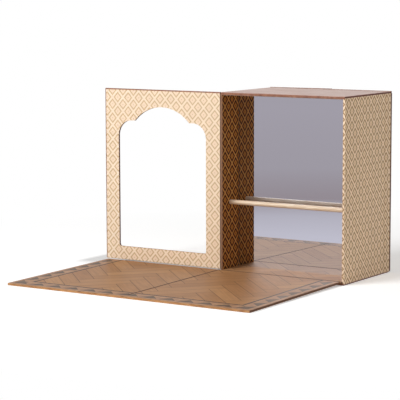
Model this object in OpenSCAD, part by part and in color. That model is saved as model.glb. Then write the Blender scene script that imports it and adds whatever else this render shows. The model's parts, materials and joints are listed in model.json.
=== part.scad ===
// Toy ballet studio: a book-bound cardboard box that opens into a small dance room.
// X runs along the front of the box, Y into it, Z up. The origin is on the surface
// that the box stands on, under the middle of its bottom board.

/* [Box] */
// Outside width of the box over the papers on its side walls
box_w = 161.6; // [140:0.2:220]
// Outside height of the box
box_h = 210; // [150:1:300]
// Depth of the side walls from their front edge to their rear edge
box_d = 110; // [80:1:160]
// Thickness of the board of a side wall
wall_board_t = 2; // [1.6:0.1:3]
// Thickness of the top board
top_board_t = 2.8; // [2:0.1:4]
// Thickness of the bottom board
bottom_board_t = 2.4; // [2:0.1:4]
// Thickness of a glued sheet of paper
paper_t = 0.3; // [0.2:0.05:0.4]
// Bare edge that a glued sheet leaves round a board
paper_margin = 1.4; // [0.6:0.1:3]
// Bare edge above the wallpaper on the outside of a side wall
wallpaper_top_margin = 2; // [0.6:0.1:3]

/* [Mirror and barre] */
// Distance of the mirror's face behind the front edges of the walls
mirror_set = 35; // [28:0.5:60]
// Thickness of the mirror sheet
mirror_t = 1.5; // [1:0.1:3]
// Thickness of the board that backs the mirror
partition_t = 2; // [1.6:0.1:3]
// Diameter of the barre
barre_dia = 5.4; // [4:0.1:8]
// Height of the barre's axis above the table
barre_height = 82; // [50:1:120]
// Distance of the barre's axis behind the front edges of the walls
barre_set = 17; // [12:0.5:20]
// Depth of the blind hole that holds an end of the barre
barre_socket = 1.2; // [0.8:0.1:1.4]
// Gap all round the barre in its hole
barre_fit = 0.05; // [0.03:0.01:0.1]

/* [Floor] */
// Thickness of the board under the parquet, inside the box and in both leaves
floor_board_t = 2; // [1.6:0.1:3]
// Distance of the folded leaves' outer edge inside the right side of the box
leaf_side_gap = 3.8; // [0.4:0.2:30]
// Distance of the lifted leaves' edge below the top of the box
leaf_top_gap = 13.2; // [1:0.2:60]
// Slit between the two leaves
fold_slit = 0.4; // [0.2:0.05:0.8]
// Slit between the floor in the box and the leaves
lift_slit = 0.3; // [0.2:0.05:0.6]
// Height of the creases above the parquet
crease_rise = 0.2; // [0.1:0.05:0.4]

/* [Front door] */
// Overhang of the closed door's free edge past the right side of the box
door_overhang = 0.8; // [0:0.1:3]
// Thickness of the door's board
door_board_t = 2; // [1.6:0.1:3]
// Gap between the box and the open door, which the hinge cloth bridges
door_hinge_gap = 0.6; // [0.6:0.1:3]
// Height of the door's foot above the parquet
door_foot_gap = 0.35; // [0.3:0.05:1]
// Width of the door's stiles beside the arched window
door_stile = 19.4; // [10:0.2:24]
// Height of the window's sill above the door's foot
door_rail = 16; // [10:0.5:30]
// Distance of the crown's highest point below the top of the door
door_head = 20.35; // [8:0.05:40]
// Radius of the round shoulders
shoulder_r = 18; // [8:0.5:21]
// Distance of the cusps between crown and shoulders from the sides of the window
cusp_set = 23.4; // [18:0.2:28]
// Rise of the crown above the shoulders
crown_rise = 17.1; // [8:0.1:24]
// Radius of the window's lower corners
sill_corner_r = 3; // [1:0.5:8]

/* [Rear doors] */
// Thickness of the board of a rear door
rear_board_t = 2; // [1.6:0.1:3]
// Slit between the two closed rear doors
rear_slit = 0.8; // [0.4:0.1:2]
// Gap between the walls and the closed rear doors
rear_gap = 0.4; // [0.3:0.05:1]
// Height of the rear doors' foot above the table
rear_foot_gap = 0.6; // [0.3:0.1:2]
// Height by which the rear doors stand above the top
rear_rise = 0.4; // [0:0.1:2]
// Angle at which the left rear door stands ajar
rear_ajar = 5; // [0:1:30]
// Distance of a rear hinge's axis outside the wall
rear_hinge_out = 0.6; // [0.4:0.1:1.5]

/* [Hinge cloth and clearance] */
// Thickness of the hinge cloth
cloth_t = 0.3; // [0.2:0.05:0.4]
// Width of cloth glued on each side of a hinge
cloth_w = 12; // [6:0.5:20]
// Gap between pieces that move past each other
running_gap = 0.3; // [0.3:0.05:0.8]

/* [Hidden] */
$fn = 96;

// Colours of the finishes
brown_wrap = "#8a5a42";
wallpaper_tan = "#ead2b4";
wood_print = "#cbb3ac";
parquet_tan = "#b08a6e";
mirror_grey = "#a09ba1";
dowel_pale = "#e3cdb2";
cloth_brown = "#6b4634";
lining_cream = "#e6d8c6";

// Faces of the box
x_out = box_w / 2;
x_board = x_out - paper_t;
x_wall = x_board - wall_board_t;
x_liner = x_wall - paper_t;
y_front = -box_d / 2;
y_back = box_d / 2;
z_top_board = box_h - paper_t;
z_ceiling = z_top_board - top_board_t;
y_mirror = y_front + mirror_set;
y_partition = y_mirror + mirror_t;
y_lining = y_partition + partition_t;
y_compartment = y_lining + paper_t;
y_barre = y_front + barre_set;

// Floor and its two creases
floor_top = bottom_board_t + floor_board_t + paper_t;
leaf_t = floor_board_t + 2 * paper_t;
leaf_w = box_w - fold_slit / 2 - leaf_side_gap;
leaf_d = box_h - floor_top - crease_rise - lift_slit - leaf_top_gap;
y_crease = y_front - running_gap - leaf_t - crease_rise;
z_crease = floor_top + crease_rise;
x_fold = -x_out;
leaf_reach = lift_slit + leaf_d;
leaf_hang = crease_rise + leaf_t;
// Slope at which the leaves' front edge comes down to the table
floor_slope = asin(z_crease / norm([leaf_reach, leaf_hang])) - atan2(leaf_hang, leaf_reach);

// Front door, modelled swung out straight
door_t = door_board_t + 2 * paper_t;
door_w = box_w + door_overhang;
door_foot = floor_top + door_foot_gap;
x_door = -x_out - door_hinge_gap;
x_window = x_door - door_w / 2;
z_sill = door_foot + door_rail;
window_w = door_w - 2 * door_stile;
window_shoulder = box_h - door_head - crown_rise - z_sill;
crown_w = window_w - 2 * cusp_set;
crown_r = (crown_w * crown_w / 4 + crown_rise * crown_rise) / (2 * crown_rise);
// Length by which a cutting shape runs past what it cuts
cut_overlap = 1;

// Rear doors
rear_door_w = x_out - rear_slit / 2;
rear_door_t = rear_board_t + 2 * paper_t;
y_rear = y_back + rear_gap;
y_rear_axis = y_back + rear_gap / 2;
x_rear_axis = x_out + rear_hinge_out;

// A board or sheet between two opposite corners
module slab(low, high) {
    translate(low) cube(high - low);
}

// The same on the other side of the box
module opposite() {
    mirror([1, 0, 0]) children();
}

// Takes what is modelled level down to the slope of the leaves
module sloped() {
    translate([0, y_crease, z_crease])
        rotate([floor_slope, 0, 0])
            translate([0, -y_crease, -z_crease])
                children();
}

// Turns what is modelled closed to the angle at which the left rear door stands
module ajar() {
    translate([-x_rear_axis, y_rear_axis, 0])
        rotate([0, 0, rear_ajar])
            translate([x_rear_axis, -y_rear_axis, 0])
                children();
}

module bottom_board() {
    color(brown_wrap) slab([-x_board, y_front, 0], [x_board, y_back, bottom_board_t]);
}

module top_board() {
    color(brown_wrap) slab([-x_board, y_front, z_ceiling], [x_board, y_back, z_top_board]);
}

module top_sheet() {
    color(wood_print)
        slab([-x_board + paper_t, y_front + paper_t, z_top_board],
             [x_board - paper_t, y_back - paper_t, box_h]);
}

// Bar along X at the barre's place
module barre_bar(radius, reach) {
    translate([0, y_barre, barre_height])
        rotate([0, 90, 0])
            cylinder(r = radius, h = 2 * reach, center = true);
}

// Board of the right wall, with the blind hole for the barre
module wall_board() {
    difference() {
        slab([x_wall, y_front + paper_t, bottom_board_t], [x_board, y_back, z_ceiling]);
        barre_bar(barre_dia / 2 + barre_fit, x_wall + barre_socket);
    }
}

module left_wall_board() {
    color(brown_wrap) opposite() wall_board();
}

module right_wall_board() {
    color(brown_wrap) wall_board();
}

// Paper on the outside of the right wall, from a depth behind its front edge
module outside_paper(depth) {
    slab([x_board, y_front + depth, paper_margin], [x_out, y_back, box_h - wallpaper_top_margin]);
}

// Cover of the right wall's front edge
module edge_cover() {
    slab([x_liner, y_front, bottom_board_t], [x_board, y_front + paper_t, z_ceiling]);
}

module left_wallpaper() {
    color(wallpaper_tan) opposite() outside_paper(paper_t);
}

// The right wall's paper is turned over its front edge
module right_wallpaper() {
    color(wallpaper_tan) {
        outside_paper(0);
        edge_cover();
    }
}

// Paper on the inside of the right wall of the studio, pierced by the barre
module studio_liner() {
    difference() {
        slab([x_liner, y_front + paper_t, bottom_board_t], [x_wall, y_mirror, z_ceiling]);
        barre_bar(barre_dia / 2 + barre_fit, x_wall + barre_socket);
    }
}

module studio_liner_left() {
    color(wallpaper_tan) opposite() studio_liner();
}

module studio_liner_right() {
    color(wallpaper_tan) studio_liner();
}

module studio_ceiling_sheet() {
    color(lining_cream)
        slab([-x_liner, y_front + paper_margin, z_ceiling - paper_t], [x_liner, y_mirror, z_ceiling]);
}

module mirror_sheet() {
    color(mirror_grey) slab([-x_wall, y_mirror, bottom_board_t], [x_wall, y_partition, z_ceiling]);
}

module partition_board() {
    color(brown_wrap) slab([-x_wall, y_partition, bottom_board_t], [x_wall, y_lining, z_ceiling]);
}

module partition_sheet() {
    color(lining_cream) slab([-x_wall, y_lining, bottom_board_t], [x_wall, y_compartment, z_ceiling]);
}

// Paper on the right wall of the rear compartment, between its floor and ceiling sheets
module compartment_liner() {
    slab([x_liner, y_compartment, bottom_board_t + paper_t],
         [x_wall, y_back - paper_margin, z_ceiling - paper_t]);
}

module compartment_liner_left() {
    color(lining_cream) opposite() compartment_liner();
}

module compartment_liner_right() {
    color(lining_cream) compartment_liner();
}

module compartment_ceiling_sheet() {
    color(lining_cream)
        slab([-x_wall, y_compartment, z_ceiling - paper_t], [x_wall, y_back - paper_margin, z_ceiling]);
}

module compartment_floor_sheet() {
    color(lining_cream)
        slab([-x_wall, y_compartment, bottom_board_t],
             [x_wall, y_back - paper_margin, bottom_board_t + paper_t]);
}

module barre() {
    color(dowel_pale) barre_bar(barre_dia / 2, x_wall + barre_socket);
}

// Floor in the studio, which reaches forward to the crease of the leaves
module studio_floor_board() {
    color(brown_wrap)
        slab([-x_liner, y_crease + lift_slit, bottom_board_t],
             [x_liner, y_mirror, bottom_board_t + floor_board_t]);
}

module studio_floor_parquet() {
    color(parquet_tan)
        slab([-x_liner, y_crease + lift_slit, floor_top - paper_t], [x_liner, y_mirror, floor_top]);
}

// Cloth of the front hinge on the left wall, turned over the wall's front edge
module front_hinge_wall_cloth() {
    cloth_top = box_h - wallpaper_top_margin;
    color(cloth_brown) {
        slab([-x_out - cloth_t, y_front, door_foot], [-x_out, y_front + cloth_w, cloth_top]);
        slab([-x_out, y_front, door_foot], [-x_board, y_front + paper_t, z_ceiling]);
        opposite() edge_cover();
    }
}

// Cloth of the right rear hinge on the right wall
module rear_wall_cloth() {
    slab([x_out, y_back - cloth_w, paper_margin], [x_out + cloth_t, y_back, box_h - wallpaper_top_margin]);
}

module rear_left_hinge_wall_cloth() {
    color(cloth_brown) opposite() rear_wall_cloth();
}

module rear_right_hinge_wall_cloth() {
    color(cloth_brown) rear_wall_cloth();
}

// One layer of the right leaf, between two depths below the parquet's face
module leaf_layer(deep, shallow) {
    sloped()
        slab([x_fold + fold_slit / 2, y_crease - leaf_reach, floor_top - deep],
             [x_fold + fold_slit / 2 + leaf_w, y_crease - lift_slit, floor_top - shallow]);
}

// The same for the left leaf, on the other side of the fold
module left_of_fold() {
    translate([2 * x_fold, 0, 0]) mirror([1, 0, 0]) children();
}

module floor_right_board() {
    color(brown_wrap) leaf_layer(paper_t + floor_board_t, paper_t);
}

module floor_right_parquet() {
    color(parquet_tan) leaf_layer(paper_t, 0);
}

module floor_right_underside() {
    color(lining_cream) leaf_layer(leaf_t, leaf_t - paper_t);
}

module floor_left_board() {
    color(brown_wrap) left_of_fold() leaf_layer(paper_t + floor_board_t, paper_t);
}

module floor_left_parquet() {
    color(parquet_tan) left_of_fold() leaf_layer(paper_t, 0);
}

module floor_left_underside() {
    color(lining_cream) left_of_fold() leaf_layer(leaf_t, leaf_t - paper_t);
}

// What rounding takes off a corner at the origin
module corner_cut(radius) {
    difference() {
        translate([-cut_overlap, -cut_overlap]) square(radius + cut_overlap);
        translate([radius, radius]) circle(r = radius);
    }
}

// Outline of the arched window about its own centre line, from the sill up
module window_outline() {
    difference() {
        union() {
            translate([-window_w / 2, 0]) square([window_w, window_shoulder]);
            intersection() {
                translate([0, window_shoulder + crown_rise - crown_r]) circle(r = crown_r);
                translate([-crown_w / 2, window_shoulder - cut_overlap])
                    square([crown_w, crown_rise + 2 * cut_overlap]);
            }
        }
        for (side = [0, 1]) mirror([side, 0]) {
            translate([-window_w / 2, 0]) corner_cut(sill_corner_r);
            translate([-window_w / 2, window_shoulder]) mirror([0, 1]) corner_cut(shoulder_r);
        }
    }
}

// One layer of the front door from its inner face outwards, with the window cut through it.
// Its free edges are the top and the edge away from the box.
module door_layer(depth, thickness, free_inset, near_inset) {
    difference() {
        slab([x_door - door_w + free_inset, y_front + depth, door_foot + near_inset],
             [x_door - near_inset, y_front + depth + thickness, box_h - free_inset]);
        translate([x_window, y_front + door_t + cut_overlap, z_sill])
            rotate([90, 0, 0])
                linear_extrude(door_t + 2 * cut_overlap)
                    window_outline();
    }
}

module front_door_board() {
    color(brown_wrap) door_layer(paper_t, door_board_t, 0, 0);
}

module front_door_inner_wallpaper() {
    color(wallpaper_tan) door_layer(0, paper_t, paper_margin, paper_t);
}

module front_door_outer_sheet() {
    color(wood_print) door_layer(paper_t + door_board_t, paper_t, paper_margin, 0);
}

module front_hinge_door_cloth() {
    color(cloth_brown)
        slab([x_door - cloth_w, y_front + door_t, door_foot],
             [x_door, y_front + door_t + cloth_t, box_h - wallpaper_top_margin]);
}

// A layer of the right rear door as closed, inset at its edges
module rear_door_layer(depth, thickness, inset) {
    slab([x_out - rear_door_w + inset, y_rear + depth, rear_foot_gap + inset],
         [x_out - inset, y_rear + depth + thickness, box_h + rear_rise - inset]);
}

module rear_door_board() {
    rear_door_layer(paper_t, rear_board_t, 0);
}

module rear_door_inner_sheet() {
    rear_door_layer(0, paper_t, paper_margin);
}

module rear_door_outer_sheet() {
    rear_door_layer(paper_t + rear_board_t, paper_t, paper_margin);
}

module rear_door_cloth() {
    slab([x_out - paper_margin - cloth_w, y_rear + rear_door_t, paper_margin],
         [x_out - paper_margin, y_rear + rear_door_t + cloth_t, box_h - wallpaper_top_margin]);
}

module rear_left_door_board() {
    color(brown_wrap) ajar() opposite() rear_door_board();
}

module rear_left_door_inner_sheet() {
    color(lining_cream) ajar() opposite() rear_door_inner_sheet();
}

module rear_left_door_outer_sheet() {
    color(wallpaper_tan) ajar() opposite() rear_door_outer_sheet();
}

module rear_left_hinge_door_cloth() {
    color(cloth_brown) ajar() opposite() rear_door_cloth();
}

module rear_right_door_board() {
    color(brown_wrap) rear_door_board();
}

module rear_right_door_inner_sheet() {
    color(lining_cream) rear_door_inner_sheet();
}

module rear_right_door_outer_sheet() {
    color(wallpaper_tan) rear_door_outer_sheet();
}

module rear_right_hinge_door_cloth() {
    color(cloth_brown) rear_door_cloth();
}

bottom_board();
top_board();
left_wall_board();
right_wall_board();
left_wallpaper();
right_wallpaper();
top_sheet();
studio_liner_left();
studio_liner_right();
studio_ceiling_sheet();
mirror_sheet();
partition_board();
partition_sheet();
compartment_liner_left();
compartment_liner_right();
compartment_ceiling_sheet();
compartment_floor_sheet();
barre();
studio_floor_board();
studio_floor_parquet();
front_hinge_wall_cloth();
rear_left_hinge_wall_cloth();
rear_right_hinge_wall_cloth();
floor_right_board();
floor_right_parquet();
floor_right_underside();
floor_left_board();
floor_left_parquet();
floor_left_underside();
front_door_board();
front_door_inner_wallpaper();
front_door_outer_sheet();
front_hinge_door_cloth();
rear_left_door_board();
rear_left_door_inner_sheet();
rear_left_door_outer_sheet();
rear_left_hinge_door_cloth();
rear_right_door_board();
rear_right_door_inner_sheet();
rear_right_door_outer_sheet();
rear_right_hinge_door_cloth();
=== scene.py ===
import json
import math

import bmesh
import bpy
from mathutils import Matrix, Vector


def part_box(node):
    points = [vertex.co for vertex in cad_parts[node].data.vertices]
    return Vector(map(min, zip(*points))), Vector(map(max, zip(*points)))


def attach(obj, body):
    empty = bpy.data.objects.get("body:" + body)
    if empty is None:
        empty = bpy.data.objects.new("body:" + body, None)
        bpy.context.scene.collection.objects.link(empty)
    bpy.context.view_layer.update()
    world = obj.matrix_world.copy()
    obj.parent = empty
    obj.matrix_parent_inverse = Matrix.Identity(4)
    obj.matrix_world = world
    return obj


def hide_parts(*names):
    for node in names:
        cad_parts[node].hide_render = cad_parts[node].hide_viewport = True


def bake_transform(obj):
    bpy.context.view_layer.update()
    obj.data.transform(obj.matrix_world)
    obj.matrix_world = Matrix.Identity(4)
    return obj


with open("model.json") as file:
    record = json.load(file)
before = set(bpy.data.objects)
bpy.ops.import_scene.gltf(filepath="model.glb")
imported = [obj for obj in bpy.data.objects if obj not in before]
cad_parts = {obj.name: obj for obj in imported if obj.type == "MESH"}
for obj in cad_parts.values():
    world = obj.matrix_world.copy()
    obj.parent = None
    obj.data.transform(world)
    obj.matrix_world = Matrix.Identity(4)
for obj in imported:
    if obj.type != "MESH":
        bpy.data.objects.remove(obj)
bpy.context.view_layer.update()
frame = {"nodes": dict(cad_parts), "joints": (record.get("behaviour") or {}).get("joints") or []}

# Wrapped boards of the box and its doors
# Greyboard 2 to 2.8 mm thick, covered with thin brown paper that is glued on and turned over every
# edge. Turned paper never makes a sharp corner, so the edges are rounded.

scene = bpy.context.scene
MM = 0.001
WRAP_ROUNDING = 0.4 * MM
WELD = 0.01 * MM  # points nearer than this become one
FLAT_ANGLE = math.radians(0.5)  # faces that differ by less become one
EDGE_ANGLE = math.radians(40)  # edges sharper than this are rounded


def linear(code):
    """Linear colour of an sRGB hex code."""
    parts = [int(code[i : i + 2], 16) / 255 for i in (1, 3, 5)]
    return tuple(c / 12.92 if c <= 0.04045 else ((c + 0.055) / 1.055) ** 2.4 for c in parts) + (1.0,)


def add(tree, kind, inputs=(), out=0, stops=(), **settings):
    """Adds a node with its settings, inputs and colour stops, and returns one of its outputs."""
    made = tree.nodes.new(kind)
    for name, value in settings.items():
        setattr(made, name, value)
    for key, value in dict(inputs).items():
        if isinstance(value, bpy.types.NodeSocket):
            tree.links.new(value, made.inputs[key])
        else:
            made.inputs[key].default_value = value
    for count, (position, code) in enumerate(stops):
        if count == 0:
            made.color_ramp.elements.remove(made.color_ramp.elements[1])
            made.color_ramp.elements[0].position = position
            made.color_ramp.elements[0].color = linear(code)
        else:
            made.color_ramp.elements.new(position).color = linear(code)
    return made.outputs[out]


# A Mix node has sockets for each type of data: these are its two colours and its mixed colour
MIX_A, MIX_B, MIX_OUT = 6, 7, 2


def new_material(name, roughness, **sockets):
    """A material, its tree and its surface shader, with the shader's own numbers set."""
    material = bpy.data.materials.new(name)
    material.use_nodes = True
    shader = material.node_tree.nodes["Principled BSDF"]
    shader.inputs["Roughness"].default_value = roughness
    for key, value in sockets.items():
        shader.inputs[key.replace("_", " ")].default_value = value
    return material, material.node_tree, shader


NOISE_LOW, NOISE_HIGH = 0.3, 0.7  # nearly all of a noise pattern lies between them
CLOUD = 14 * MM  # width of the soft clouds in any paper's tone
RELIEF = 0.1 * MM  # height of raised fibres and grain


def paper_surface(tree, shader, colour, mottle, fibre, strength):
    """Clouds a colour by a share, raises fibres of a width, and joins both to the shader."""
    place = add(tree, "ShaderNodeTexCoord", out="Object")
    cloud = add(tree, "ShaderNodeTexNoise", {"Vector": place, "Scale": 1 / CLOUD, "Detail": 4.0})
    shade = add(
        tree, "ShaderNodeMapRange",
        {
            "Value": cloud, "From Min": NOISE_LOW, "From Max": NOISE_HIGH, "To Min": 1 - mottle,
            "To Max": 1 + mottle,
        },
    )
    clouded = add(tree, "ShaderNodeVectorMath", {0: colour, "Scale": shade}, operation="SCALE")
    fibres = add(tree, "ShaderNodeTexNoise", {"Vector": place, "Scale": 1 / fibre, "Detail": 3.0})
    relief = add(
        tree, "ShaderNodeBump", {"Height": fibres, "Strength": strength, "Distance": RELIEF}
    )
    tree.links.new(clouded, shader.inputs["Base Color"])
    tree.links.new(relief, shader.inputs["Normal"])


def sideways(tree):
    """1 where a surface is turned more than 30 degrees to the left or right, and 0 elsewhere."""
    facing = add(tree, "ShaderNodeTexCoord", out="Normal")
    x_facing = add(tree, "ShaderNodeSeparateXYZ", {0: facing}, out="X")
    either_way = add(tree, "ShaderNodeMath", {0: x_facing}, operation="ABSOLUTE")
    return add(tree, "ShaderNodeMath", {0: either_way, 1: 0.5}, operation="GREATER_THAN")


def finish_piece(name, mesh, material, slot, body, *nodes):
    """Links a finished mesh as a piece that rides on a body and stands for CAD nodes."""
    mesh.materials.clear()
    mesh.materials.append(material)
    piece = bpy.data.objects.new(name, mesh)
    scene.collection.objects.link(piece)
    if body:
        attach(piece, body)
    if nodes:
        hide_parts(*nodes)
    return piece


def shaped_mesh(mesh, modifier_type, **settings):
    """The mesh that one modifier makes of a mesh, with its settings or its node tree's inputs."""
    carrier = bpy.data.objects.new("carrier", mesh)
    scene.collection.objects.link(carrier)
    modifier = carrier.modifiers.new("shaping", modifier_type)
    for key, value in settings.items():
        if hasattr(modifier, key):
            setattr(modifier, key, value)
        else:
            modifier[key] = value
    made = bpy.data.meshes.new_from_object(carrier.evaluated_get(bpy.context.evaluated_depsgraph_get()))
    bpy.data.objects.remove(carrier)
    return made


def rounded_copy(node, body, material, slot, radius):
    """Makes a copy of a CAD node with rounded edges, which stands for the node."""
    mesh = frame["nodes"][node].data.copy()
    shell = bmesh.new()
    shell.from_mesh(mesh)
    bmesh.ops.remove_doubles(shell, verts=shell.verts, dist=WELD)
    bmesh.ops.dissolve_limit(shell, angle_limit=FLAT_ANGLE, verts=shell.verts, edges=shell.edges)
    for face in shell.faces:
        face.smooth = True
    shell.to_mesh(mesh)
    shell.free()
    rounded = shaped_mesh(
        mesh, "BEVEL", width=radius, segments=3, limit_method="ANGLE", angle_limit=EDGE_ANGLE,
        harden_normals=True,
    )
    finish_piece(node + "_rounded", rounded, material, slot, body, node)


# Brown wrapping paper: matt and blotched, and darker over the side edges as painted shade
brown_wrap, tree, shader = new_material("brown_wrapping_paper", 0.6)
place = add(tree, "ShaderNodeTexCoord", out="Object")
blotch = add(tree, "ShaderNodeTexNoise", {"Vector": place, "Scale": 1 / (5 * MM), "Detail": 5.0})
plain_tone = add(
    tree, "ShaderNodeValToRGB", {"Fac": blotch},
    stops=((0.3, "#7a4c3a"), (0.5, "#94624a"), (0.7, "#a5745a")),
)
# Darker tones of the side edges: painted shade
side_shade_tone = add(
    tree, "ShaderNodeValToRGB", {"Fac": blotch},
    stops=((0.3, "#4c2010"), (0.5, "#662e1a"), (0.7, "#743a24")),
)
tone = add(
    tree, "ShaderNodeMix", {0: sideways(tree), MIX_A: plain_tone, MIX_B: side_shade_tone}, out=MIX_OUT,
    data_type="RGBA",
)
paper_surface(tree, shader, tone, mottle=0.05, fibre=0.5 * MM, strength=0.25)

wrapped_boards = {
    "box": ("bottom_board", "top_board", "left_wall_board", "right_wall_board", "partition_board"),
    "front_door": ("front_door_board",),
    "rear_door_left": ("rear_left_door_board",),
    "rear_door_right": ("rear_right_door_board",),
}
for body, nodes in wrapped_boards.items():
    for node in nodes:
        rounded_copy(node, body, brown_wrap, "wrap", WRAP_ROUNDING)

# Trellis wallpaper of the walls, of the studio and of the doors' patterned faces
# Paper printed with a common diamond trellis: cream bands cross, and every diamond between them
# holds a tan ring and a dot. It is glued flat over the board.

TRELLIS_W = 15.2 * MM
TRELLIS_H = 16.6 * MM
DOT, RING = 0.025, 0.33  # how far they lie from a diamond's centre, as shares of the repeat
DOT_RIM, RING_INNER_RIM, RING_OUTER_RIM = 0.045, 0.065, 0.06  # their soft edges
CORNER_SOFTNESS = 0.04
PAPER_ROUNDING = 0.22 * MM


def dress(material, *nodes):
    """Gives CAD nodes their finish."""
    for name in nodes:
        mesh = frame["nodes"][name].data
        mesh.materials.clear()
        mesh.materials.append(material)


def trellis_paper(name, band, field, ring, across, up, line=0.03, **sockets):
    """Trellis paper in three inks. A diamond lies at across and up; line is half its ring's width."""
    material, tree, shader = new_material(name, 0.62, **sockets)
    place = add(tree, "ShaderNodeTexCoord", out="Object")
    along_x, along_y, along_z = (
        add(tree, "ShaderNodeSeparateXYZ", {0: place}, out=axis) for axis in "XYZ"
    )
    along_wall = add(
        tree, "ShaderNodeMix", {"Factor": sideways(tree), "A": along_x, "B": along_y}
    )
    repeats = []
    for way, start, repeat in ((along_wall, across, TRELLIS_W), (along_z, up, TRELLIS_H)):
        moved = add(tree, "ShaderNodeMath", {0: way, 1: start}, operation="SUBTRACT")
        repeats.append(add(tree, "ShaderNodeMath", {0: moved, 1: repeat}, operation="DIVIDE"))
    off_centre = []
    for operation in ("ADD", "SUBTRACT"):
        diagonal = add(tree, "ShaderNodeMath", {0: repeats[0], 1: repeats[1]}, operation=operation)
        nearest = add(tree, "ShaderNodeMath", {0: diagonal}, operation="ROUND")
        offset = add(tree, "ShaderNodeMath", {0: diagonal, 1: nearest}, operation="SUBTRACT")
        off_centre.append(add(tree, "ShaderNodeMath", {0: offset}, operation="ABSOLUTE"))
    # 0 at a diamond's centre, 0.5 on the middle line of the bands
    both = {0: off_centre[0], 1: off_centre[1], 2: CORNER_SOFTNESS}
    reach = add(tree, "ShaderNodeMath", both, operation="SMOOTH_MAX")
    # From the dot, over the field and the ring, out to the bands
    print_ink = add(
        tree, "ShaderNodeValToRGB", {"Fac": reach},
        stops=(
            (0.0, ring), (DOT, ring), (DOT + DOT_RIM, field), (RING - line - RING_INNER_RIM, field),
            (RING - line, ring), (RING + line, ring), (RING + line + RING_OUTER_RIM, band),
        ),
    )
    paper_surface(tree, shader, print_ink, mottle=0.03, fibre=0.35 * MM, strength=0.15)
    return material


# Trellis paper: a matt print with a fine tooth. The photo shows it paler on the door, and darker and
# without gloss in the studio; the studio's darker inks are painted shade.
door_paper = trellis_paper(
    "trellis_paper_door", "#f7e0c6", "#f4dabf", "#d0b185", across=-88.7 * MM, up=0.4 * MM
)
wall_paper = trellis_paper(
    "trellis_paper_wall", "#fadfc0", "#f1d4b0", "#a27949", across=6.6 * MM, up=10.4 * MM
)
# The studio's copy: its dark inks are the studio's deep shade, painted in
shaded_studio_paper = trellis_paper(
    "trellis_paper_studio_shaded", "#d29450", "#be7c3a", "#341204", across=3.9 * MM, up=10.3 * MM,
    line=0.05, Specular_IOR_Level=0.08,
)
dress(door_paper, "front_door_inner_wallpaper")
dress(shaded_studio_paper, "studio_liner_left", "studio_liner_right")
dress(wall_paper, "rear_left_door_outer_sheet", "rear_right_door_outer_sheet")
for node in ("left_wallpaper", "right_wallpaper"):
    rounded_copy(node, "box", wall_paper, "wallpaper", PAPER_ROUNDING)

# Wood-look cover sheet of the top and of the front door's outer face
# Paper printed as limed oak, with its grain along the front, under a thin satin varnish. It is glued
# on over the wrapped board and leaves a narrow rim of it bare.

# Limed oak print: reddish grey streaks under a soft sheen
oak_print, tree, shader = new_material("limed_oak_print", 0.45)
place = add(tree, "ShaderNodeTexCoord", out="Object")
drawn_out = add(tree, "ShaderNodeMapping", {"Vector": place, "Scale": (0.08, 1.0, 1.0)})
streaks = add(
    tree, "ShaderNodeTexNoise",
    {"Vector": drawn_out, "Scale": 1 / (3.5 * MM), "Detail": 6.0, "Roughness": 0.6},
)
tone = add(
    tree, "ShaderNodeValToRGB", {"Fac": streaks},
    stops=((0.32, "#a77f6f"), (0.48, "#c2a095"), (0.62, "#d6beb4")),
)
paper_surface(tree, shader, tone, mottle=0.04, fibre=0.4 * MM, strength=0.1)
dress(oak_print, "top_sheet", "front_door_outer_sheet")

# Mirror
# A sheet of silvered acrylic, glued to the partition from wall to wall, with its edges ground.

GROUND_EDGE = 1.3 * MM
SILVER_GLOSS, GROUND_GLOSS = 0.02, 0.35

# Silvered acrylic: a clear image with a very slight waviness, and a matt, darker rim
silvering, tree, shader = new_material("silvered_acrylic", SILVER_GLOSS, Metallic=1.0)
place = add(tree, "ShaderNodeTexCoord", out="Object")
mirror_low, mirror_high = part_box("mirror_sheet")
to_rim = []
for axis, low, high in (("X", mirror_low.x, mirror_high.x), ("Z", mirror_low.z, mirror_high.z)):
    way = add(tree, "ShaderNodeSeparateXYZ", {0: place}, out=axis)
    to_rim.append(add(tree, "ShaderNodeMath", {0: way, 1: low}, operation="SUBTRACT"))
    to_rim.append(add(tree, "ShaderNodeMath", {0: high, 1: way}, operation="SUBTRACT"))
rim = to_rim[0]
for distance in to_rim[1:]:
    rim = add(tree, "ShaderNodeMath", {0: rim, 1: distance}, operation="MINIMUM")
ground = add(
    tree, "ShaderNodeMapRange",
    {"Value": rim, "From Min": GROUND_EDGE, "From Max": 0.8 * GROUND_EDGE, "To Min": 0.0, "To Max": 1.0},
)
silver = add(
    tree, "ShaderNodeMix", {0: ground, MIX_A: linear("#e2e4ea"), MIX_B: linear("#b9b2b4")},
    out=MIX_OUT, data_type="RGBA",
)
gloss = add(
    tree, "ShaderNodeMapRange", {"Value": ground, "To Min": SILVER_GLOSS, "To Max": GROUND_GLOSS}
)
waves = add(tree, "ShaderNodeTexNoise", {"Vector": place, "Scale": 1 / (70 * MM), "Detail": 0.0})
relief = add(tree, "ShaderNodeBump", {"Height": waves, "Strength": 0.1, "Distance": RELIEF})
tree.links.new(silver, shader.inputs["Base Color"])
tree.links.new(gloss, shader.inputs["Roughness"])
tree.links.new(relief, shader.inputs["Normal"])
dress(silvering, "mirror_sheet")

# Linings of the compartment, of the ceilings, of the rear doors and under the floor leaves
# Plain papers glued flat on the boards: cream inside, and brown kraft on the undersides.

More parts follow.
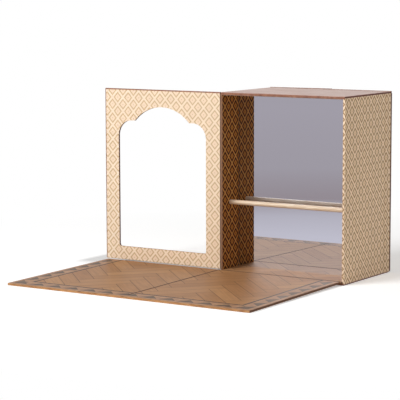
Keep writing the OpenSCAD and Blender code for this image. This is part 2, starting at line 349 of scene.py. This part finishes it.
# Cream lining paper and kraft lining paper: matt, with visible fibres
cream_lining, tree, shader = new_material("cream_lining_paper", 0.72)
paper_surface(tree, shader, linear("#e9dccb")[:3], mottle=0.04, fibre=0.5 * MM, strength=0.25)
dress(
    cream_lining, "studio_ceiling_sheet", "partition_sheet", "compartment_liner_left",
    "compartment_liner_right", "compartment_ceiling_sheet", "compartment_floor_sheet",
    "rear_left_door_inner_sheet", "rear_right_door_inner_sheet",
)
kraft_lining, tree, shader = new_material("kraft_lining_paper", 0.72)
paper_surface(tree, shader, linear("#b98c62")[:3], mottle=0.08, fibre=0.6 * MM, strength=0.3)
dress(kraft_lining, "floor_left_underside", "floor_right_underside")

# Barre
# A turned beech dowel, sanded and waxed. Its ends are glued into blind holes in both walls.

# Waxed beech: fine pale grain along the dowel, with a soft sheen
beech, tree, shader = new_material("waxed_beech", 0.4)
place = add(tree, "ShaderNodeTexCoord", out="Object")
drawn_out = add(tree, "ShaderNodeMapping", {"Vector": place, "Scale": (0.05, 1.0, 1.0)})
grain = add(tree, "ShaderNodeTexNoise", {"Vector": drawn_out, "Scale": 1 / (0.8 * MM), "Detail": 4.0})
tone = add(
    tree, "ShaderNodeValToRGB", {"Fac": grain}, stops=((0.35, "#d6b896"), (0.65, "#f0dcc4"))
)
relief = add(tree, "ShaderNodeBump", {"Height": grain, "Strength": 0.15, "Distance": RELIEF})
tree.links.new(tone, shader.inputs["Base Color"])
tree.links.new(relief, shader.inputs["Normal"])
dress(beech, "barre")

# Floor boards
# Greyboard that is die-cut with the print already on it, so that its cut edges stay open. It is
# glued into the box, and between print and lining in the leaves.

# Cut board: orange-brown fibres in fine layers, darker on the side edges as painted shade
cut_board, tree, shader = new_material("cut_kraft_board", 0.8)
place = add(tree, "ShaderNodeTexCoord", out="Object")
layered = add(tree, "ShaderNodeMapping", {"Vector": place, "Scale": (0.15, 0.15, 3.0)})
layers = add(tree, "ShaderNodeTexNoise", {"Vector": layered, "Scale": 1 / (1.2 * MM), "Detail": 4.0})
bare = add(
    tree, "ShaderNodeValToRGB", {"Fac": layers},
    stops=((0.3, "#6e4426"), (0.45, "#b07a48"), (0.65, "#cf9c68")),
)
# Darker tones of the side edges: painted shade
edge_shade_tone = add(
    tree, "ShaderNodeValToRGB", {"Fac": layers}, stops=((0.3, "#4a2c1c"), (0.65, "#70482f"))
)
tone = add(
    tree, "ShaderNodeMix", {0: sideways(tree), MIX_A: bare, MIX_B: edge_shade_tone}, out=MIX_OUT,
    data_type="RGBA",
)
paper_surface(tree, shader, tone, mottle=0.1, fibre=0.4 * MM, strength=0.4)
dress(cut_board, "studio_floor_board", "floor_right_board", "floor_left_board")

# Parquet print of the studio floor and of both floor leaves
# One printed sheet, glued over all three boards so that its pattern runs on across fold and crease:
# herringbone at 45 degrees to the walls, and an inlaid border along the leaves' open sides.

BLOCK_W = 18.6 * MM
BLOCK_COUNT = 4  # a block is four widths long
COLUMN_START, ROW_START = 0.33, 3.43  # where the joints lie at the origin, in widths
JOINT_INSIDE, JOINT_RIM = 0.01, 0.035  # how far a joint's ink reaches over a block, in widths
GRAIN_LENGTH, GRAIN_WIDTH = 38.75 * MM, 2.325 * MM
MARK_OUTER = 5.0 * MM  # the grey triangles lie between these distances from the open sides
MARK_INNER = 17.0 * MM
MARK_REPEAT = 23.6 * MM
FILLET_OUTER = 19.6 * MM  # and the dark fillet between these
FILLET_INNER = 22.2 * MM
left_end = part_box("floor_left_parquet")[0]
right_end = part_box("floor_right_parquet")[1]

# Satin parquet print: brown blocks of slightly different tones with thin dark joints, and a low gloss
parquet, tree, shader = new_material("satin_parquet_print", 0.46, Specular_IOR_Level=0.12)
place = add(tree, "ShaderNodeTexCoord", out="Object")
east = add(tree, "ShaderNodeSeparateXYZ", {0: place}, out="X")
north = add(tree, "ShaderNodeSeparateXYZ", {0: place}, out="Y")

# Herringbone: two counts of block widths, along the blocks' two directions
directions = ((east, north, "ADD", COLUMN_START), (north, east, "SUBTRACT", ROW_START))
ways = []
for first, second, operation, start in directions:
    diagonal = add(tree, "ShaderNodeMath", {0: first, 1: second}, operation=operation)
    counted = {0: diagonal, 1: math.sqrt(0.5) / BLOCK_W, 2: start}
    ways.append(add(tree, "ShaderNodeMath", counted, operation="MULTIPLY_ADD"))
cells = [add(tree, "ShaderNodeMath", {0: way}, operation="FLOOR") for way in ways]
parts = [
    add(tree, "ShaderNodeMath", {0: way, 1: cell}, operation="SUBTRACT") for way, cell in zip(ways, cells)
]

# Of the steps up a stair, the first half lies in a block along the first direction, which is called
# flat here, and the second half in a block along the other, which is called upright
stair = add(tree, "ShaderNodeMath", {0: cells[0], 1: cells[1]}, operation="SUBTRACT")
step = add(tree, "ShaderNodeMath", {0: stair, 1: 2.0 * BLOCK_COUNT}, operation="FLOORED_MODULO")
upright = add(tree, "ShaderNodeMath", {0: step, 1: BLOCK_COUNT - 0.5}, operation="GREATER_THAN")
back_step = add(tree, "ShaderNodeMath", {0: 2.0 * BLOCK_COUNT - 1, 1: step}, operation="SUBTRACT")
flat_run = add(tree, "ShaderNodeMath", {0: step, 1: parts[0]}, operation="ADD")
upright_run = add(tree, "ShaderNodeMath", {0: back_step, 1: parts[1]}, operation="ADD")
lengthwise = add(tree, "ShaderNodeMix", {"Factor": upright, "A": flat_run, "B": upright_run})
crosswise = add(tree, "ShaderNodeMix", {"Factor": upright, "A": parts[1], "B": parts[0]})

# Each block has a chance number of its own, from the place of its first cell
first_column = add(tree, "ShaderNodeMath", {0: cells[0], 1: step}, operation="SUBTRACT")
first_row = add(tree, "ShaderNodeMath", {0: cells[1], 1: back_step}, operation="SUBTRACT")
block_column = add(tree, "ShaderNodeMix", {"Factor": upright, "A": first_column, "B": cells[0]})
block_row = add(tree, "ShaderNodeMix", {"Factor": upright, "A": cells[1], "B": first_row})
block = add(tree, "ShaderNodeCombineXYZ", {"X": block_column, "Y": block_row, "Z": upright})
chance = add(tree, "ShaderNodeTexWhiteNoise", {"Vector": block}, noise_dimensions="3D")

# Joints, block tones and grain
to_sides = []
for run, span in ((crosswise, 1.0), (lengthwise, float(BLOCK_COUNT))):
    rest = add(tree, "ShaderNodeMath", {0: span, 1: run}, operation="SUBTRACT")
    to_sides.append(add(tree, "ShaderNodeMath", {0: run, 1: rest}, operation="MINIMUM"))
to_joint = add(tree, "ShaderNodeMath", {0: to_sides[0], 1: to_sides[1]}, operation="MINIMUM")
joint_ink = add(
    tree, "ShaderNodeMapRange",
    {"Value": to_joint, "From Min": JOINT_INSIDE, "From Max": JOINT_RIM, "To Min": 0.85, "To Max": 0.0},
)
block_tone = add(
    tree, "ShaderNodeValToRGB", {"Fac": chance},
    stops=((0.0, "#9d6f48"), (0.5, "#a77950"), (1.0, "#b28459")),
)
block_place = add(tree, "ShaderNodeCombineXYZ", {"X": lengthwise, "Y": crosswise, "Z": chance})
grain_counts = (BLOCK_W / GRAIN_LENGTH, BLOCK_W / GRAIN_WIDTH, 64.0)
block_grain = add(tree, "ShaderNodeMapping", {"Vector": block_place, "Scale": grain_counts})
grain = add(tree, "ShaderNodeTexNoise", {"Vector": block_grain, "Scale": 1.0, "Detail": 5.0})
grain_shade = add(
    tree, "ShaderNodeMapRange",
    {"Value": grain, "From Min": NOISE_LOW, "From Max": NOISE_HIGH, "To Min": 0.88, "To Max": 1.1},
)
wood = add(tree, "ShaderNodeVectorMath", {0: block_tone, "Scale": grain_shade}, operation="SCALE")
field = add(
    tree, "ShaderNodeMix", {0: joint_ink, MIX_A: wood, MIX_B: linear("#5a3a20")}, out=MIX_OUT,
    data_type="RGBA",
)

# Border: the distance in from the right, left and front edges of the unfolded leaves
from_right = add(tree, "ShaderNodeMath", {0: right_end.x, 1: east}, operation="SUBTRACT")
from_left = add(tree, "ShaderNodeMath", {0: east, 1: left_end.x}, operation="SUBTRACT")
from_front = add(tree, "ShaderNodeMath", {0: north, 1: left_end.y}, operation="SUBTRACT")
from_side = add(tree, "ShaderNodeMath", {0: from_right, 1: from_left}, operation="MINIMUM")
inward = add(tree, "ShaderNodeMath", {0: from_side, 1: from_front}, operation="MINIMUM")
on_leaves = add(tree, "ShaderNodeMath", {0: north, 1: right_end.y + 0.1 * MM}, operation="LESS_THAN")

# A row of triangles, closed by a solid corner
along_front = add(tree, "ShaderNodeMath", {0: from_front, 1: from_side}, operation="LESS_THAN")
beside = add(tree, "ShaderNodeMix", {"Factor": along_front, "A": from_front, "B": from_side})
marks_across = add(
    tree, "ShaderNodeMapRange",
    {"Value": inward, "From Min": MARK_OUTER, "From Max": MARK_INNER, "To Min": 0.0, "To Max": 1.0},
)
turns = add(tree, "ShaderNodeMath", {0: beside, 1: MARK_REPEAT / 2}, operation="DIVIDE")
zigzag = add(tree, "ShaderNodeMath", {0: turns, 1: 1.0}, operation="PINGPONG")
is_mark = add(tree, "ShaderNodeMath", {0: zigzag, 1: marks_across}, operation="GREATER_THAN")
past_outer = add(tree, "ShaderNodeMath", {0: inward, 1: MARK_OUTER}, operation="GREATER_THAN")
in_row = add(tree, "ShaderNodeMath", {0: inward, 1: MARK_INNER}, operation="LESS_THAN")
in_row = add(tree, "ShaderNodeMath", {0: in_row, 1: past_outer}, operation="MULTIPLY")
mark = add(tree, "ShaderNodeMath", {0: in_row, 1: is_mark}, operation="MULTIPLY")
near_side = add(tree, "ShaderNodeMath", {0: from_side, 1: MARK_INNER}, operation="LESS_THAN")
near_front = add(tree, "ShaderNodeMath", {0: from_front, 1: MARK_INNER}, operation="LESS_THAN")
corner = add(tree, "ShaderNodeMath", {0: near_side, 1: near_front}, operation="MULTIPLY")
corner = add(tree, "ShaderNodeMath", {0: corner, 1: past_outer}, operation="MULTIPLY")
dark = add(tree, "ShaderNodeMath", {0: mark, 1: corner}, operation="MAXIMUM")
past_fillet = add(tree, "ShaderNodeMath", {0: inward, 1: FILLET_OUTER}, operation="GREATER_THAN")
in_border = add(tree, "ShaderNodeMath", {0: inward, 1: FILLET_INNER}, operation="LESS_THAN")
in_border = add(tree, "ShaderNodeMath", {0: in_border, 1: on_leaves}, operation="MULTIPLY")

# Inlay tones, and the border laid over the herringbone
streaked = add(tree, "ShaderNodeMapping", {"Vector": place, "Scale": (1.0, 0.2, 1.0)})
border_grain = add(tree, "ShaderNodeTexNoise", {"Vector": streaked, "Scale": 1 / (3 * MM), "Detail": 4.0})
pale_inlay = add(
    tree, "ShaderNodeValToRGB", {"Fac": border_grain}, stops=((0.35, "#9c7456"), (0.65, "#b38a6a"))
)
grey_inlay = add(
    tree, "ShaderNodeValToRGB", {"Fac": border_grain}, stops=((0.35, "#544030"), (0.65, "#705a48"))
)
inlaid = add(
    tree, "ShaderNodeMix", {0: dark, MIX_A: pale_inlay, MIX_B: grey_inlay}, out=MIX_OUT,
    data_type="RGBA",
)
inlaid = add(
    tree, "ShaderNodeMix", {0: past_fillet, MIX_A: inlaid, MIX_B: linear("#2a1a10")}, out=MIX_OUT,
    data_type="RGBA",
)
print_colour = add(
    tree, "ShaderNodeMix", {0: in_border, MIX_A: field, MIX_B: inlaid}, out=MIX_OUT,
    data_type="RGBA",
)
paper_surface(tree, shader, print_colour, mottle=0.05, fibre=0.6 * MM, strength=0.08)
dress(parquet, "studio_floor_parquet", "floor_right_parquet", "floor_left_parquet")

# Creases of the floor
# The parquet print bridges both slits between the boards and is the hinge there. Where it is
# creased it stands up in a fine bead.

BEAD_HEIGHT = 0.3 * MM  # the closing door passes 0.35 mm above the print
BEAD_STEPS = 8
LIFT_BEAD_HALF, FOLD_BEAD_HALF = 0.6 * MM, 0.9 * MM
joints = {joint["name"]: joint for joint in frame["joints"]}
fold_axis = Vector(joints["floor_fold"]["axis"])
fold_x = joints["floor_fold"]["pos_m"][0]
floor_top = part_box("studio_floor_parquet")[1].z
crease_y = right_end.y + 0.3 * MM
lift_start_x = fold_x + 0.3 * MM
fold_start_y = crease_y - 1.2 * MM
front_y = left_end.y + 10 * MM
front_z = floor_top + (front_y - crease_y) * fold_axis.z / fold_axis.y

# Crease print: matt and dark, the crease's shade painted along the bead
crease_shade_print, tree, shader = new_material("parquet_crease_shade", 0.7)
paper_surface(tree, shader, linear("#463024")[:3], mottle=0.2, fibre=0.6 * MM, strength=0.3)


def crease_bead(name, start, end, half_width):
    """A low half-round bead between two points, reaching half_width to either side."""
    shell = bmesh.new()
    half_width = Vector(half_width)
    rings = []
    for point in (start, end):
        ring = []
        for count in range(BEAD_STEPS + 1):
            turn = math.pi * count / BEAD_STEPS
            rise = Vector((0, 0, math.sin(turn) * BEAD_HEIGHT))
            ring.append(shell.verts.new(Vector(point) + half_width * math.cos(turn) + rise))
        rings.append(ring)
    for count in range(-1, BEAD_STEPS):
        shell.faces.new((rings[0][count], rings[0][count + 1], rings[1][count + 1], rings[1][count]))
    shell.faces.new(rings[0])
    shell.faces.new(rings[1])
    bmesh.ops.recalc_face_normals(shell, faces=shell.faces)
    mesh = bpy.data.meshes.new(name)
    shell.to_mesh(mesh)
    shell.free()
    piece = finish_piece(name, mesh, crease_shade_print, "parquet", None)
    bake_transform(piece)


crease_bead(
    "lift_crease_bead", (lift_start_x, crease_y, floor_top), (right_end.x, crease_y, floor_top),
    (0, LIFT_BEAD_HALF, 0),
)
crease_bead(
    "fold_crease_bead", (fold_x, fold_start_y, floor_top), (fold_x, front_y, front_z),
    (FOLD_BEAD_HALF, 0, 0),
)

# Hinge cloths of the front door and the rear doors
# Strips of book cloth, glued to the wall on one side and to the door on the other. Between them the
# cloth turns loosely through the gap, and the door swings on it.

CLOTH_T = 0.3 * MM
THREAD = 0.6 * MM  # about twice the real spacing, so that it shows
BEND_STEPS = 12
SHARP_ANGLE = math.radians(35)

# Brown book cloth: a dull weave, darker over the side edges as painted shade
book_cloth, tree, shader = new_material("brown_book_cloth", 0.85, Sheen_Weight=0.15)
place = add(tree, "ShaderNodeTexCoord", out="Object")
along_x, along_y, along_z = (
    add(tree, "ShaderNodeSeparateXYZ", {0: place}, out=axis) for axis in "XYZ"
)
along_weft = add(tree, "ShaderNodeMath", {0: along_x, 1: along_y}, operation="ADD")
threads = []
for way in (along_weft, along_z):
    turns = add(tree, "ShaderNodeMath", {0: way, 1: math.pi / THREAD}, operation="MULTIPLY")
    wave = add(tree, "ShaderNodeMath", {0: turns}, operation="SINE")
    threads.append(add(tree, "ShaderNodeMath", {0: wave}, operation="ABSOLUTE"))
weave = add(tree, "ShaderNodeMath", {0: threads[0], 1: threads[1]}, operation="MULTIPLY")
plain_tone = add(tree, "ShaderNodeValToRGB", {"Fac": weave}, stops=((0.0, "#6b4632"), (0.7, "#9c7253")))
# Darker tones of the side edges: painted shade
side_shade_tone = add(tree, "ShaderNodeValToRGB", {"Fac": weave}, stops=((0.0, "#4a2412"), (0.7, "#6e4028")))
tone = add(
    tree, "ShaderNodeMix", {0: sideways(tree), MIX_A: plain_tone, MIX_B: side_shade_tone}, out=MIX_OUT,
    data_type="RGBA",
)
relief = add(tree, "ShaderNodeBump", {"Height": weave, "Strength": 0.5, "Distance": CLOTH_T / 2})
tree.links.new(tone, shader.inputs["Base Color"])
tree.links.new(relief, shader.inputs["Normal"])

# Geometry nodes sweep the strip's cross-section along corners in the plan
strip_tree = bpy.data.node_groups.new("cloth_strip", "GeometryNodeTree")
strip_tree.interface.new_socket("Corners", in_out="INPUT", socket_type="NodeSocketGeometry")
for name in ("Thickness", "Height", "Bend radius"):
    strip_tree.interface.new_socket(name, in_out="INPUT", socket_type="NodeSocketFloat")
strip_tree.interface.new_socket("Cloth", in_out="INPUT", socket_type="NodeSocketMaterial")
strip_tree.interface.new_socket("Strip", in_out="OUTPUT", socket_type="NodeSocketGeometry")
given = strip_tree.nodes.new("NodeGroupInput").outputs
path = add(strip_tree, "GeometryNodeMeshToCurve", {"Mesh": given["Corners"]})
bent = add(
    strip_tree, "GeometryNodeFilletCurve",
    {"Curve": path, "Count": BEND_STEPS, "Radius": given["Bend radius"], "Limit Radius": True},
    mode="POLY",
)
section = add(
    strip_tree, "GeometryNodeCurvePrimitiveQuadrilateral",
    {"Width": given["Thickness"], "Height": given["Height"]}, mode="RECTANGLE",
)
upright_path = add(strip_tree, "GeometryNodeSetCurveNormal", {"Curve": bent}, mode="Z_UP")
swept = add(
    strip_tree, "GeometryNodeCurveToMesh",
    {"Curve": upright_path, "Profile Curve": section, "Fill Caps": True},
)
real = add(strip_tree, "GeometryNodeRealizeInstances", {"Geometry": swept})
covered = add(strip_tree, "GeometryNodeSetMaterial", {"Geometry": real, "Material": given["Cloth"]})
strip_tree.links.new(covered, strip_tree.nodes.new("NodeGroupOutput").inputs["Strip"])
strip_sockets = {item.name: item.identifier for item in strip_tree.interface.items_tree}


def cloth_strip(name, corners, low, high, bend, body, nodes):
    """A piece of upright cloth that follows corners (x, y) between two heights."""
    line = bpy.data.meshes.new("corners")
    line.from_pydata(
        [(x, y, (low + high) / 2) for x, y in corners],
        [(i, i + 1) for i in range(len(corners) - 1)], [],
    )
    sizes = {"Thickness": CLOTH_T, "Height": high - low, "Bend radius": bend, "Cloth": book_cloth}
    inputs = {strip_sockets[key]: value for key, value in sizes.items()}
    made = shaped_mesh(line, "NODES", node_group=strip_tree, **inputs)
    shell = bmesh.new()
    shell.from_mesh(made)
    bmesh.ops.remove_doubles(shell, verts=shell.verts, dist=WELD)
    bmesh.ops.recalc_face_normals(shell, faces=shell.faces)
    for face in shell.faces:
        face.smooth = True
    shell.to_mesh(made)
    shell.free()
    made.set_sharp_from_angle(angle=SHARP_ANGLE)
    return finish_piece(name, made, book_cloth, "cloth", body, *nodes)


# Front door, on the wall: this strip is turned over the wall's front edge
wall_low, wall_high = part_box("front_hinge_wall_cloth")
door_low, door_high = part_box("front_hinge_door_cloth")
wall_x, wall_y = wall_low.x + CLOTH_T / 2, wall_low.y + CLOTH_T / 2
lip_x = wall_high.x - 0.05 * MM
cloth_strip(
    "front_hinge_wall_strip", ((lip_x, wall_y), (wall_x, wall_y), (wall_x, wall_high.y)),
    low=door_low.z, high=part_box("top_board")[0].z, bend=0.3 * MM, body="box",
    nodes=("front_hinge_wall_cloth",),
)

# Front door, the joint: this strip lies on the wall's strip, turns the corner and joins the door
FOOT_MARGIN, HEAD_MARGIN = 0.55 * MM, 0.4 * MM
turned_x = door_high.x - 1.0 * MM
straight_x = turned_x - 0.2 * MM
outer_x, outer_y = wall_low.x - CLOTH_T / 2, wall_high.y - 1.0 * MM
door_y = door_low.y + CLOTH_T / 2
front_joint = cloth_strip(
    "front_hinge_joint",
    ((outer_x, outer_y), (outer_x, door_y), (straight_x, door_y), (door_low.x, door_y)),
    low=door_low.z + FOOT_MARGIN, high=door_high.z - HEAD_MARGIN, bend=0.5 * MM, body=None,
    nodes=("front_hinge_door_cloth",),
)
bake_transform(front_joint)

# Rear doors: one strip each. The left door stands ajar, and its half of the strip with it
AJAR = math.radians(5)
wall_low, wall_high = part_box("rear_right_hinge_wall_cloth")
door_low, door_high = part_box("rear_right_hinge_door_cloth")
wall_x, door_y = wall_low.x + CLOTH_T / 2, door_low.y + CLOTH_T / 2
straight_y = wall_high.y - 0.4 * MM
slack_y = wall_high.y + 0.1 * MM
papered_y = wall_high.y - 0.5 * MM
pivot = Vector(joints["rear_door_left"]["pos_m"]).to_2d()


def ajar(x, y):
    """A point of the closed left rear door, turned open with it about its hinge."""
    arm = Vector((x, y)) - pivot
    return (
        pivot.x + arm.x * math.cos(AJAR) - arm.y * math.sin(AJAR),
        pivot.y + arm.x * math.sin(AJAR) + arm.y * math.cos(AJAR),
    )


rear_corners = {
    "right": (
        (wall_x, wall_low.y), (wall_x, straight_y), (wall_x, door_y), (door_low.x, door_y),
    ),
    "left": (
        (-wall_x, wall_low.y), (-wall_x, straight_y), (-wall_x, slack_y), ajar(-wall_x, door_y),
        ajar(-door_low.x, door_y),
    ),
}
for side, corners in rear_corners.items():
    rear_joint = cloth_strip(
        f"rear_{side}_hinge_cloth", corners, low=wall_low.z, high=wall_high.z, bend=0.6 * MM,
        body=None, nodes=(f"rear_{side}_hinge_wall_cloth", f"rear_{side}_hinge_door_cloth"),
    )
    # The wall's own wallpaper covers the half that is glued to the wall
    rear_joint.data.materials.append(wall_paper)
    for face in rear_joint.data.polygons:
        face.material_index = int(face.center.y < papered_y)
    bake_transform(rear_joint)

# Stage
# A wide sheet of white paper under the studio, which fades into a plain white room.

FLOOR_HALF = 9
GLOW = 0.35
WHITE_FROM, WHITE_FULL = 0.3, 0.6
ROOM_REACH = 3.0
floor_mesh = bpy.data.meshes.new("stage_floor")
floor_mesh.from_pydata(
    [(x * FLOOR_HALF, y * FLOOR_HALF, 0) for x, y in ((-1, -1), (1, -1), (1, 1), (-1, 1))],
    [], [(0, 1, 2, 3)],
)

# White paper sweep: matt, with the studio's shadow on it. For the camera it is lifted towards white and is
# plain white further off, and for glossy rays it glows in a room's grey tones, a painted reflection in the
# mirror.
white_floor = bpy.data.materials.new("white_paper_sweep")
white_floor.use_nodes = True
tree = white_floor.node_tree
tree.nodes.remove(tree.nodes["Principled BSDF"])
place = add(tree, "ShaderNodeTexCoord", out="Object")
away = add(tree, "ShaderNodeVectorMath", {0: place}, out="Value", operation="LENGTH")
seen = add(tree, "ShaderNodeLightPath", out="Is Camera Ray")

# In a rectangle behind the open door the paper isn't lifted, so that it keeps the door's shade. It
# is given along two axes by its two ends and the width of its soft rims.
door_low, door_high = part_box("front_door_board")
shaded = []
for axis, low, high, soft in (
    ("X", door_low.x - 40 * MM, door_high.x + 10 * MM, 10 * MM),
    ("Y", door_low.y - 24 * MM, door_low.y + 70 * MM, 22 * MM),
):
    way = add(tree, "ShaderNodeSeparateXYZ", {0: place}, out=axis)
    off_middle = add(tree, "ShaderNodeMath", {0: way, 1: (low + high) / 2}, operation="SUBTRACT")
    off_middle = add(tree, "ShaderNodeMath", {0: off_middle}, operation="ABSOLUTE")
    half = (high - low) / 2
    within = {"Value": off_middle, "From Min": half - soft, "From Max": half, "To Min": 1.0, "To Max": 0.0}
    shaded.append(add(tree, "ShaderNodeMapRange", within))
shaded = add(tree, "ShaderNodeMath", {0: shaded[0], 1: shaded[1]}, operation="MULTIPLY")
lit = add(tree, "ShaderNodeMath", {0: 1.0, 1: shaded}, operation="SUBTRACT")
lift = add(tree, "ShaderNodeMath", {0: seen, 1: GLOW}, operation="MULTIPLY")
lift = add(tree, "ShaderNodeMath", {0: lift, 1: lit}, operation="MULTIPLY")
paper = add(tree, "ShaderNodeBsdfDiffuse", {"Color": linear("#f1f1f1")})
glow = add(tree, "ShaderNodeEmission", {"Color": linear("#ffffff"), "Strength": lift})
near = add(tree, "ShaderNodeAddShader", {0: paper, 1: glow})
white = add(tree, "ShaderNodeEmission", {"Color": linear("#ffffff"), "Strength": 1.0})
far = add(
    tree, "ShaderNodeMapRange",
    {"Value": away, "From Min": WHITE_FROM, "From Max": WHITE_FULL, "To Min": 0.0, "To Max": 1.0},
)
far = add(tree, "ShaderNodeMath", {0: far, 1: seen}, operation="MULTIPLY")
whole = add(tree, "ShaderNodeMixShader", {0: far, 1: near, 2: white})

# Painted reflection: the grey tones of a room by distance, glowing for glossy rays
distance = add(tree, "ShaderNodeMath", {0: away, 1: ROOM_REACH}, operation="DIVIDE")
room_tone = add(
    tree, "ShaderNodeValToRGB", {"Fac": distance},
    stops=((0.1, "#d8d5df"), (0.18, "#c9c5ce"), (0.25, "#a69ca0"), (0.4, "#b2acb2"), (0.9, "#b6b0b7")),
)
room = add(tree, "ShaderNodeEmission", {"Color": room_tone, "Strength": 1.0})
mirrored = add(tree, "ShaderNodeLightPath", out="Is Glossy Ray")
whole = add(tree, "ShaderNodeMixShader", {0: mirrored, 1: whole, 2: room})
tree.links.new(whole, tree.nodes["Material Output"].inputs["Surface"])
floor_mesh.materials.append(white_floor)
floor = bpy.data.objects.new("stage_floor", floor_mesh)
scene.collection.objects.link(floor)

# Lamps and room light
# A large soft key lamp stands front left and above, and a weak warm one back right. The room is a
# plain white, dim for the object's own light and brighter in reflections.

AIM = (-0.05, -0.05, 0.1)
ROOM_LIGHT = 0.3
ROOM_SEEN_FRONT, ROOM_SEEN_BACK = 0.65, 1.0


def lamp(name, place, size, power, colour):
    """A square soft lamp at a place, with its size in metres and its power in watts."""
    light = bpy.data.lights.new(name, "AREA")
    light.shape = "SQUARE"
    light.size = size
    light.energy = power
    light.color = colour
    made = bpy.data.objects.new(name, light)
    made.location = place
    made.rotation_euler = (Vector(AIM) - Vector(place)).to_track_quat("-Z", "Y").to_euler()
    scene.collection.objects.link(made)


lamp("key_lamp", (-0.85, -1.65, 1.4), size=1.1, power=38, colour=(1, 1, 1))
lamp("fill_lamp", (1.7, 1.1, 1.0), size=1.2, power=8, colour=(1, 0.9, 0.78))

world = bpy.data.worlds.new("studio")
world.use_nodes = True
scene.world = world
tree = world.node_tree
direction = add(tree, "ShaderNodeTexCoord", out="Generated")
to_back = add(tree, "ShaderNodeSeparateXYZ", {0: direction}, out="Y")
room_seen = add(
    tree, "ShaderNodeMapRange",
    {
        "Value": to_back, "From Min": -0.1, "From Max": 0.3, "To Min": ROOM_SEEN_FRONT,
        "To Max": ROOM_SEEN_BACK,
    },
)
glossy = add(tree, "ShaderNodeLightPath", out="Is Glossy Ray")
clear = add(tree, "ShaderNodeLightPath", out="Is Transmission Ray")
shiny = add(tree, "ShaderNodeMath", {0: glossy, 1: clear}, operation="MAXIMUM")
strength = add(tree, "ShaderNodeMix", {"Factor": shiny, "A": ROOM_LIGHT, "B": room_seen})
camera_ray = add(tree, "ShaderNodeLightPath", out="Is Camera Ray")
strength = add(tree, "ShaderNodeMix", {"Factor": camera_ray, "A": strength, "B": 1.0})
tree.nodes["Background"].inputs["Color"].default_value = linear("#ffffff")
tree.links.new(strength, tree.nodes["Background"].inputs["Strength"])
scene.view_settings.view_transform = "Standard"

# Camera
# It stands where the fit to the photo's corners puts it, 2 m off to the front right.

CAMERA_PLACE = (0.99522, -1.75876, 0.33269)
YAW, PITCH, ROLL = -0.5751, -0.122, -0.0025
forward = Vector((math.sin(YAW) * math.cos(PITCH), math.cos(YAW) * math.cos(PITCH), math.sin(PITCH)))
level = Vector((math.cos(YAW), -math.sin(YAW), 0))
over = level.cross(forward)
right = level * math.cos(ROLL) + over * math.sin(ROLL)
top = over * math.cos(ROLL) - level * math.sin(ROLL)
lens = bpy.data.cameras.new("camera")
lens.sensor_width = 36
lens.lens = 158.41
lens.clip_start = 0.05
lens.clip_end = 50
camera = bpy.data.objects.new("camera", lens)
turned = Matrix((right, top, -forward)).transposed().to_4x4()
camera.matrix_world = Matrix.Translation(CAMERA_PLACE) @ turned
scene.collection.objects.link(camera)
scene.camera = camera
